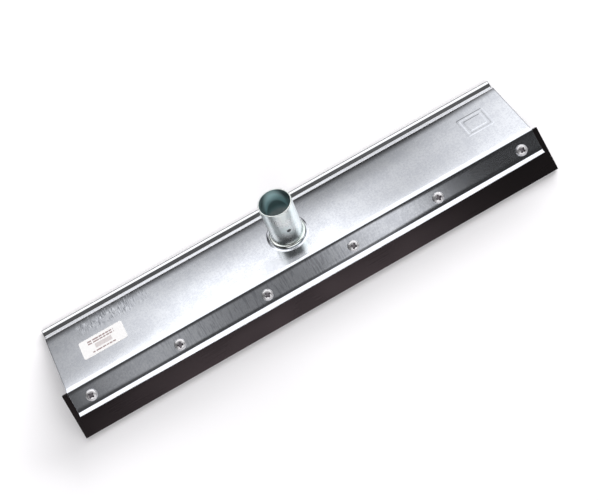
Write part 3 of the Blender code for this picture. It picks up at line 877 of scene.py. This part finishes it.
class Graph:
    """Node tree of a material or the world."""

    def __init__(self, tree):
        self.tree = tree
        tree.nodes.clear()

    def node(self, kind, setup, inputs, output=0):
        """Add a node, set it up, fill its sockets with values or links, and give back one output."""
        node = self.tree.nodes.new(kind)
        for name, value in setup.items():
            setattr(node, name, value)
        pairs = inputs.items() if isinstance(inputs, dict) else enumerate(inputs)
        for key, value in pairs:
            if isinstance(value, Value):
                self.tree.links.new(value.socket, node.inputs[key])
            else:
                node.inputs[key].default_value = value
        return Value(self, node.outputs[output]) if node.outputs else node

    def object_point(self):
        return self.node("ShaderNodeTexCoord", {}, {}, "Object")

    def head_point(self, place):
        """Object coordinates in a frame of the head, in metres."""
        return self.node("ShaderNodeMapping", {"vector_type": "TEXTURE"},
                         {"Vector": self.object_point(), "Location": place.translation,
                          "Rotation": place.to_euler()})

    def axes(self, vector):
        return [self.node("ShaderNodeSeparateXYZ", {}, [vector], axis) for axis in range(3)]

    def noise(self, vector, scale, detail=3, roughness=0.55):
        return self.node("ShaderNodeTexNoise", {}, {"Vector": vector, "Scale": scale, "Detail": detail,
                                                    "Roughness": roughness}, "Fac")

    def streaks(self, vector, scale, detail, roughness=0.55):
        """Noise with a scale of its own along each axis."""
        stretched = self.node("ShaderNodeMapping", {}, {"Vector": vector, "Scale": scale})
        return self.noise(stretched, 1, detail, roughness)

    def smooth(self, value, low, high):
        """Smooth step from nothing at one value to one at another."""
        return self.node("ShaderNodeMapRange", {"interpolation_type": "SMOOTHSTEP"},
                         {"Value": value, "From Min": low, "From Max": high})

    def span(self, value, rise, fall):
        """One between a soft rise and a soft fall, each given by the values where it is nothing and one."""
        return self.smooth(value, *rise) * self.smooth(value, *fall)

    def band(self, value, centre, half, soft):
        """One inside a band about a centre and nothing outside it, with soft sides."""
        return self.smooth(abs(value - centre), half + soft, half - soft)

    def distance(self, x, y):
        return (x * x + y * y).math("SQRT")

    def bearing(self, x, y):
        """Turn from +Y towards +X in degrees."""
        return self.node("ShaderNodeMath", {"operation": "ARCTAN2"}, [x, y]) * (180 / pi)

    def blend(self, share, low, high):
        """Colour between two colours."""
        ends = [end if isinstance(end, Value) else (*end, 1) for end in (low, high)]
        return self.node("ShaderNodeMix", {"data_type": "RGBA"}, {0: share, 6: ends[0], 7: ends[1]}, 2)

    def bump(self, height, strength, distance, under=None):
        """Normal of a bumpy surface, over that of another bump where one is given."""
        sockets = {"Height": height, "Strength": strength, "Distance": distance}
        if under is not None:
            sockets["Normal"] = under
        return self.node("ShaderNodeBump", {}, sockets)

    def surface(self, shader):
        self.node("ShaderNodeOutputMaterial", {}, {"Surface": shader})

    def principled(self, sockets):
        self.surface(self.node("ShaderNodeBsdfPrincipled", {}, sockets))


def new_graph(name):
    material = bpy.data.materials.new(name)
    material.use_nodes = True
    return material, Graph(material.node_tree)


def sheet_finish(name):
    """Bright zinc on the sheet, mottled and a little wavy, with a faint crown, strokes and scuffs, painted
    shade on the hem's fold and a darker line along the cut ends.
    """
    finish, sheet, socket = picked("finish", "sheet", "socket")
    material, graph = new_graph(name)
    point = graph.head_point(head_frame())
    x, y, _ = graph.axes(point)
    reach = graph.distance(x, y - socket.setback)
    groove = sheet.plate_depth
    flat = graph.smooth(y, groove, groove - 0.002)

    # Mottled zinc, greyer in the groove
    clouds = graph.noise(point, 60, 4)
    grain = graph.streaks(point, (420, 90, 90), 3, 0.6)
    flecks = graph.noise(point, 430, 3, 0.65)
    dull = graph.smooth(clouds * 0.35 + grain * 0.15 + flecks * 0.50, 0.40, 0.60)
    zinc = graph.blend(flat, finish.sheet_groove, graph.blend(dull, finish.sheet, finish.sheet_dark))

    # Strokes combed down the clamp face, and a rubbed patch before the groove
    face = graph.span(y, (0.001, -0.003), (-0.0180, -0.0165)) * graph.band(x, -0.060, 0.110, 0.040)
    combed = face * graph.smooth(graph.streaks(point, (640, 75, 75), 2), 0.46, 0.66) * 0.36
    patch = graph.band(x, -0.198, 0.036, 0.020) * graph.band(y, 0.0610, 0.0085, 0.0055)
    rubs = patch * graph.smooth(graph.noise(point, 110, 2), 0.34, 0.54)
    strokes = graph.streaks(point, (820, 120, 120), 3, 0.65)
    scratches = rubs * graph.smooth(strokes, 0.49, 0.60)
    chalk = rubs * graph.smooth(strokes, 0.47, 0.37)
    scuffed = graph.blend((scratches * 0.68).larger(combed), zinc, finish.scuff)

    # Painted shade on the hem's fold, and a darker line along the cut ends
    end = sheet.length / 2
    cut = graph.smooth(abs(x), end - 0.0012, end - 0.0004) * graph.smooth(y, 0, 0.002)
    painted_darkening = graph.smooth(y, groove + 0.0111, groove + 0.0119).larger(cut * 0.7)
    colour = graph.blend(painted_darkening * 0.85, scuffed, finish.sheet_painted_darkening)

    # Dull film in front of the tube, and zinc rubbed rough round it
    ring = graph.span(reach, (0.0280, 0.0350), (0.060, 0.044)) * graph.smooth(y, 0.0005, 0.0035)
    film = ring * graph.smooth(y, socket.setback - 0.012, socket.setback - 0.024)
    bare = 1 - (film * 0.42).larger(chalk * 0.34)
    rubbed = graph.smooth(reach, 0.050, 0.024) * 0.07
    roughness = 0.055 + clouds * 0.03 + grain * 0.04 + flecks * 0.04 + scratches * 0.16 + rubbed

    # Crown of the plate, the collar drawn up round the tube, fine grain and waves
    across = y.math("MAXIMUM", 0).math("MINIMUM", groove)
    collar = graph.smooth(reach, 0.0229, 0.0198) * 0.0009
    crown = graph.bump(across * across * (-0.5 / sheet.crown) + collar, 1.0, 1.0)
    fine = graph.bump((grain * 0.3 + flecks * 0.7) * flat, 0.16, 0.00004, crown)
    normal = graph.bump(graph.streaks(point, (7, 16, 16), 1), 1.0, 0.00035, fine)
    graph.principled({"Base Color": colour, "Metallic": bare, "Roughness": roughness, "Normal": normal})
    return material


def tube_lining(graph, x, y, depth):
    """Colour inside the tube: a painted lit arc at the back, painted shade round it that is darkest near the
    mouth, and a painted pale reflection at the foot.
    """
    finish = settings().finish
    aside = abs(graph.bearing(x, y) - 7)
    drop = depth - aside * aside * 0.000005
    # Painted light on the back wall: a lit arc, and a painted pale reflection at the foot
    lit_arc = graph.smooth(aside, 56, 38) * graph.span(drop, (0.0185, 0.0135), (-0.005, 0.011))
    foot = graph.smooth(depth, 0.022, 0.034)
    # Painted shade round the arc, darkest near the mouth
    dark, dusky = [tuple(channel * share for channel in finish.tube_inside) for share in (0.11, 0.43)]
    shaded = graph.blend(graph.smooth(depth, 0.006, 0.018), dark, dusky)
    return graph.blend(lit_arc + foot, shaded, graph.blend(foot, finish.tube_inside, finish.tube_lit_foot))


def tube_painted_shade(graph, x, y, z, outside):
    """Painted shade under the bead, in the pin hole and on the tube's front below the hole."""
    sheet, socket, blade = picked("sheet", "socket", "blade")
    foot = sheet.thickness / 2 + blade.fit
    bead = socket.bead_height
    pin = socket.pin_hole / 2
    # Painted shade where the bead meets the plate
    crease = graph.span(z, (foot + bead * 0.14, foot + bead * 0.04), (foot * 0.3, foot * 0.8)) * outside
    away = graph.distance(x, z - (sheet.thickness / 2 + socket.pin_height))
    # Painted shade in the pin hole
    hole = graph.smooth(away, pin + 0.0003, pin) * graph.smooth(y, 0, -0.01)
    # Painted shade on the tube's lower front, below the hole
    below = graph.span(z, (0.029, 0.012), (0.004, 0.007)) * graph.smooth(y, 0, -0.008)
    lower_shade = graph.band(x, -0.002, 0.0075, 0.005) * below * outside * 0.55
    return crease.larger(hole).larger(lower_shade)


def tube_finish(name):
    """Passivated zinc with a blue-green tint in clouds and drawing lines up the tube, with painted light and
    shade inside it and painted shade under the bead, in the pin hole and below it.
    """
    finish, sheet, socket = picked("finish", "sheet", "socket")
    material, graph = new_graph(name)
    point = graph.head_point(head_frame() @ Matrix.Translation((0, socket.setback, 0)))
    x, y, z = graph.axes(point)
    bore = socket.bore / 2
    wall = socket.wall
    radius = graph.distance(x, y)
    inside = graph.smooth(radius, bore + wall * 0.28, bore + wall * 0.08)
    clouds = graph.noise(point, 70, 3)
    lines = graph.streaks(point, (420, 420, 26), 3, 0.6)
    tint = graph.smooth(clouds * 0.85 + lines * 0.15, 0.38, 0.66)
    outer = graph.blend(tint * 0.4, finish.tube, finish.tube_tint)
    # Painted light and shade inside the tube, and painted shade under the bead, in the pin hole and below it
    lining = tube_lining(graph, x, y, sheet.thickness / 2 + socket.height - z)
    painted_darkening = tube_painted_shade(graph, x, y, z, 1 - inside)
    polished = graph.smooth(radius, bore + wall + 0.0002, bore + wall + 0.0006)
    graph.principled({
        "Base Color": graph.blend(painted_darkening * 0.9, graph.blend(inside, outer, lining), finish.painted_darkening),
        "Metallic": 1 - inside * 0.9,
        "Roughness": 0.22 + clouds * 0.08 + lines * 0.03 + inside * 0.22 - polished * 0.14,
        "Normal": graph.bump(lines, 0.03, 0.00004)})
    return material


def rubber_finish(name):
    """Black rubber with a faint brown bloom and a painted sheen in the middle of the blade, calender lines
    along it and dust.
    """
    finish = settings().finish
    material, graph = new_graph(name)
    point = graph.head_point(blade_frame())
    x, _, _ = graph.axes(point)
    bloom = graph.streaks(point, (12, 24, 24), 1)
    lines = graph.streaks(point, (14, 700, 700), 2)
    dust = graph.smooth(graph.noise(point, 1500, 2), 0.68, 0.78)
    # Paler in the middle of the blade and mottled: painted sheen there, and bloom
    bloom_and_sheen = graph.band(x, -0.045, 0.18, 0.10) * (0.65 + graph.smooth(bloom, 0.35, 0.70) * 0.3)
    colour = graph.blend(bloom_and_sheen, finish.rubber, finish.rubber_bloom_and_sheen)
    relief = lines * 0.08 + dust * 0.2 + graph.noise(point, 420, 3) * 0.5
    graph.principled({
        "Base Color": graph.blend(dust * 0.35, colour, finish.dust),
        "Roughness": 0.23 + bloom * 0.08 + lines * 0.02,
        "Specular IOR Level": 0.25, "Specular Tint": (*finish.sheen, 1),
        "Normal": graph.bump(relief, 0.16, 0.0001)})
    return material


def plated_finish(name, colour, roughness, cloud_size, wear):
    """Plated steel of one colour, clouded and faintly pitted, with painted shade in the screws' recesses."""
    finish, fastener = picked("finish", "fastener")
    material, graph = new_graph(name)
    point = graph.head_point(blade_frame())
    x, y, z = graph.axes(point)
    clouds = graph.noise(point, 1 / cloud_size, 4)
    pits = graph.noise(point, 1600, 2)
    dull = tuple(channel * wear for channel in colour)
    shade = graph.blend(graph.smooth(clouds, 0.40, 0.65), colour, dull)
    first, second = screw_places()[:2]
    pitch = second.x - first.x
    side = (x - first.x).math("WRAP", pitch / 2, -pitch / 2)
    span = fastener.recess_span
    near = graph.smooth(graph.distance(side, y - first.y), span * 0.56, span * 0.50)
    crown = clamp_layers()["head_crown"]
    # Painted shade in the cross recess of each screw
    recess_shade = near * graph.smooth(z, crown - 0.0005, crown - 0.0010) * graph.smooth(z, 0, 0.0005)
    graph.principled({
        "Base Color": graph.blend(recess_shade * 0.75, shade, finish.recess), "Metallic": 0.82,
        "Roughness": roughness + clouds * 0.10 + pits * 0.05,
        "Normal": graph.bump(pits, 0.10, 0.00004)})
    return material


def paper_finish(name):
    """White paper with plain broken rules and a plain pale block."""
    finish, label = picked("finish", "label")
    material, graph = new_graph(name)
    point = graph.head_point(head_frame() @ Matrix.Translation(label_place()))
    x, y, _ = graph.axes(point)
    width = label.length
    depth = label.depth
    soft = 0.0002

    def bar(level, thick, middle, half):
        """Plain bar at one level, with its half width, as shares of the label, and its half thickness."""
        return graph.band(y, depth * level, thick, soft) * graph.band(x, width * middle, width * half, soft)

    rules = bar(0.30, 0.0009, -0.02, 0.30) + bar(0.17, 0.0008, -0.02, 0.30) + bar(-0.33, 0.0008, -0.02, 0.26)
    gaps = graph.smooth(graph.streaks(point, (520, 0, 0), 0), 0.36, 0.44)
    fibres = graph.noise(point, 1100, 3)
    ink = (rules * gaps + bar(-0.07, 0.0028, 0, 0.19) * 0.45) * (0.55 + fibres * 0.5)
    shaded = tuple(channel * 0.97 for channel in finish.paper)
    paper = graph.blend(graph.smooth(fibres, 0.3, 0.7), finish.paper, shaded)
    graph.principled({
        "Base Color": graph.blend(ink, paper, finish.ink), "Roughness": 0.55 + fibres * 0.12,
        "Normal": graph.bump(fibres, 0.10, 0.00003)})
    return material


# Stage

def floor_finish(stage):
    """White floor that keeps its shadows, with a share of plain white in what cameras and mirrors see."""
    material, graph = new_graph("stage_floor")
    axes = graph.axes(graph.object_point())
    camera, mirror, glass = [graph.node("ShaderNodeLightPath", {}, {}, f"Is {ray} Ray")
                             for ray in ("Camera", "Glossy", "Transmission")]
    soft = stage.floor_shade
    along, across = [graph.span(axis, (low, low + soft), (high, high - soft))
                     for axis, low, high in zip(axes[:2], *CAD_BOX)]
    share = camera.larger(mirror).larger(glass) * (1 - along * across) * stage.floor_glow
    paint = graph.node("ShaderNodeBsdfDiffuse", {}, {"Color": (*stage.floor_colour, 1)})
    glow = graph.node("ShaderNodeEmission", {}, {"Color": (1, 1, 1, 1), "Strength": 1.0})
    graph.surface(graph.node("ShaderNodeMixShader", {}, [share, paint, glow]))
    return material


def studio_world():
    """Room of soft panels on dark walls, placed in degrees. Cameras see plain white instead."""
    world = bpy.data.worlds.new("studio")
    world.use_nodes = True
    graph = Graph(world.node_tree)
    x, y, z = graph.axes(graph.node("ShaderNodeTexCoord", {}, {}, "Generated"))
    height = z.math("ARCSINE") * (180 / pi)
    turn = graph.bearing(x, y)
    front = graph.bearing(x, y * -1)

    # Panel behind the head: a grey wall with softer spots, brighter towards its top and its right end
    end = graph.smooth(turn, 14, 22)
    wall = 0.43 + graph.smooth(height, 22, 29) * 0.17 - graph.smooth(turn, -7, -12) * 0.17
    dip = graph.band(turn, 8.8, 3.2, 2.5) * graph.smooth(height, 29, 24) * 0.15
    lift = graph.band(turn, -4.6, 3.2, 2.2) * 0.15 + graph.smooth(turn, 12.5, 16) * 0.10
    glow = graph.band(turn, 2.3, 7.3, 4.5) * graph.smooth(height, 23.5, 32.5) * 0.62
    bright = graph.smooth(height, 33.5, 40) * 1.4 + end * 0.45
    shade = (wall - dip + lift * graph.smooth(height, 29, 23) + glow + bright).math("MINIMUM", 1.3)
    edges = graph.smooth(height + end * 5, 16, 23.5) * graph.smooth(height, 79, 71)
    back = shade * edges * graph.span(turn, (-75, -50), (85, 60))

    # Panels at the right and in front, and patches above the front one for the clamp face
    right = graph.band(turn, 85, 30, 10) * graph.band(height, 42, 16, 8)
    fill = graph.band(front, 0, 42, 12) * graph.band(height, 29, 17, 5)
    patches = (graph.span(front, (9.5, 17.5), (23.8, 20.3)) * 0.71 + graph.band(front, -9, 5.5, 3.0) * 0.21
               + graph.span(front, (-24, -12), (25.5, 20)) * 0.14)

    # Faint light overhead, and the walls
    overhead = graph.smooth(height, 66, 74) * (0.05 + graph.smooth(x, 0, 0.2) * 0.045)
    level = (back.larger(right * 1.5).larger(fill * 1.3)
             + patches * graph.span(height, (40, 46), (66.5, 61))
             + overhead * graph.smooth(y, -0.25, -0.10) + graph.smooth(front, 30, 18) * 0.02 + 0.032)
    camera = graph.node("ShaderNodeLightPath", {}, {}, "Is Camera Ray")
    seen = graph.blend(camera, graph.node("ShaderNodeCombineXYZ", {}, [level, level, level]), (1, 1, 1))
    light = graph.node("ShaderNodeBackground", {}, {"Color": seen, "Strength": 1.0})
    graph.node("ShaderNodeOutputWorld", {}, {"Surface": light})
    return world


def aim(obj, place, look, roll=0):
    """Put a camera or lamp at a place, looking along a direction, turned about it by a roll."""
    right = look.cross(Vector((0, 0, 1))).normalized()
    up = right.cross(look)
    axes = (cos(roll) * right + sin(roll) * up, cos(roll) * up - sin(roll) * right, -look)
    matrix = Matrix(axes).transposed().to_4x4()
    matrix.translation = place
    obj.matrix_world = matrix


def heading(azimuth, elevation):
    """Direction from its turn from +Y towards +X and its height above the horizon."""
    return Vector((sin(azimuth) * cos(elevation), cos(azimuth) * cos(elevation), sin(elevation)))


def add_camera(stage):
    data = bpy.data.cameras.new("camera")
    data.sensor_width = stage.sensor
    data.lens = stage.lens
    data.clip_start = 0.01
    data.clip_end = 50
    camera = shown("camera", data)
    look = heading(stage.azimuth, -stage.elevation)
    aim(camera, Vector(stage.target) - look * stage.distance, look, stage.roll)
    bpy.context.scene.camera = camera


def add_lamp(stage, name):
    """Soft light of one name, kept out of mirrors, whose reflections come from the room."""
    given = {key: getattr(stage, f"{name}_{key}")
             for key in ("level", "elevation", "azimuth", "distance", "width", "height")}
    data = bpy.data.lights.new(name, "AREA")
    data.shape = "RECTANGLE"
    data.energy = given["level"]
    data.size = given["width"]
    data.size_y = given["height"]
    lamp = shown(name, data)
    lamp.visible_glossy = False
    out = heading(given["azimuth"], given["elevation"])
    aim(lamp, out * given["distance"], -out)


def add_floor(stage):
    half = stage.floor_size / 2
    mesh = bpy.data.meshes.new("stage_floor")
    bm = bmesh.new()
    bmesh.ops.create_grid(bm, x_segments=2, y_segments=2, size=half)
    bm.to_mesh(mesh)
    bm.free()
    mesh.materials.append(floor_finish(stage))
    floor = shown("stage_floor", mesh)
    floor.location.z = -stage.floor_gap


# Operators

class PieceOperator:
    """What the operators of the head's pieces share."""
    bl_options = {"REGISTER", "UNDO"}

    def execute(self, context):
        self.build()
        return {"FINISHED"}


class SQUEEGEE_OT_sheet(PieceOperator, bpy.types.Operator):
    """Build the bent sheet"""
    bl_idname = "squeegee.sheet"
    bl_label = "Bent Sheet"

    def build(self):
        finish_piece("bent_sheet", bent_sheet(), head_frame(), sheet_finish("galvanised_sheet"),
                     ["head_plate"])


class SQUEEGEE_OT_tube(PieceOperator, bpy.types.Operator):
    """Build the handle tube"""
    bl_idname = "squeegee.tube"
    bl_label = "Handle Tube"

    def build(self):
        finish_piece("handle_tube", handle_tube(), head_frame(), tube_finish("passivated_tube"),
                     ["handle_socket"])


class SQUEEGEE_OT_rubber(PieceOperator, bpy.types.Operator):
    """Build the rubber strip"""
    bl_idname = "squeegee.rubber"
    bl_label = "Rubber Strip"

    def build(self):
        sheet, blade = picked("sheet", "blade")
        top = -sheet.bend_radius * tan(sheet.front_bend / 2)
        mesh = holed_strip("rubber_strip", "blade", sheet.length + 2 * blade.overhang, blade.width,
                           blade.edge, top - blade.width / 2)
        finish_piece("rubber_strip", mesh, blade_frame(), rubber_finish("black_rubber"),
                     ["rubber_blade"])


class SQUEEGEE_OT_bar(PieceOperator, bpy.types.Operator):
    """Build the clamp bar"""
    bl_idname = "squeegee.bar"
    bl_label = "Clamp Bar"

    def build(self):
        sheet, blade, fastener, finish = picked("sheet", "blade", "fastener", "finish")
        mesh = holed_strip("pressure_bar", "bar", sheet.length, blade.bar_width,
                           blade.bar_edge, -fastener.drop)
        material = plated_finish("galvanised_bar", finish.bar, roughness=0.30, cloud_size=0.03, wear=0.80)
        finish_piece("pressure_bar", mesh, blade_frame(), material, ["clamp_bar"])


class SQUEEGEE_OT_fasteners(PieceOperator, bpy.types.Operator):
    """Build the rows of screws, washers and nuts"""
    bl_idname = "squeegee.fasteners"
    bl_label = "Fasteners"

    def build(self):
        finish = settings().finish
        rows = (
            ("screw_row", screw_mesh, "clamp_screw", "screw_zinc", finish.screw, 0.24, 0.90),
            ("washer_row", washer_mesh, "lock_washer", "washer_spring_steel", finish.washer, 0.32, 0.75),
            ("nut_row", nut_mesh, "clamp_nut", "nut_zinc", finish.nut, 0.22, 0.82),
        )
        for name, make, node, slot, colour, roughness, wear in rows:
            material = plated_finish(slot, colour, roughness, cloud_size=0.004, wear=wear)
            nodes = [f"{node}_{i + 1}" for i in range(settings().fastener.count)]
            finish_piece(name, fastener_row(name, make(), material), blade_frame(), material, nodes)


class SQUEEGEE_OT_label(PieceOperator, bpy.types.Operator):
    """Build the paper label"""
    bl_idname = "squeegee.label"
    bl_label = "Paper Label"

    def build(self):
        finish_piece("blank_label", label_sheet(), head_frame(), paper_finish("label_paper"),
                     ["paper_label"])


class SQUEEGEE_OT_stage(PieceOperator, bpy.types.Operator):
    """Build the floor, the lights and the camera"""
    bl_idname = "squeegee.stage"
    bl_label = "Stage"

    def build(self):
        stage = settings().stage
        add_floor(stage)
        add_lamp(stage, "key")
        add_lamp(stage, "fill")
        add_camera(stage)
        scene = bpy.context.scene
        scene.world = studio_world()
        scene.view_settings.view_transform = "Standard"


OPERATORS = (SQUEEGEE_OT_sheet, SQUEEGEE_OT_tube, SQUEEGEE_OT_rubber, SQUEEGEE_OT_bar,
             SQUEEGEE_OT_fasteners, SQUEEGEE_OT_label, SQUEEGEE_OT_stage)


class SQUEEGEE_PT_panel(bpy.types.Panel):
    """Lists the pieces of the head"""
    bl_idname = "SQUEEGEE_PT_panel"
    bl_label = "Floor Squeegee Head"
    bl_space_type = "VIEW_3D"
    bl_region_type = "UI"
    bl_category = "Squeegee"

    def draw(self, context):
        for operator in OPERATORS:
            self.layout.operator(operator.bl_idname)


CLASSES = (*GROUPS, Settings, *OPERATORS, SQUEEGEE_PT_panel)


def register():
    for cls in CLASSES:
        bpy.utils.register_class(cls)
    bpy.types.Scene.squeegee = PointerProperty(type=Settings)


def unregister():
    del bpy.types.Scene.squeegee
    for cls in reversed(CLASSES):
        bpy.utils.unregister_class(cls)


def main():
    register()
    bpy.ops.squeegee.sheet()
    bpy.ops.squeegee.tube()
    bpy.ops.squeegee.rubber()
    bpy.ops.squeegee.bar()
    bpy.ops.squeegee.fasteners()
    bpy.ops.squeegee.label()
    bpy.ops.squeegee.stage()


if __name__ == "__main__":
    main()
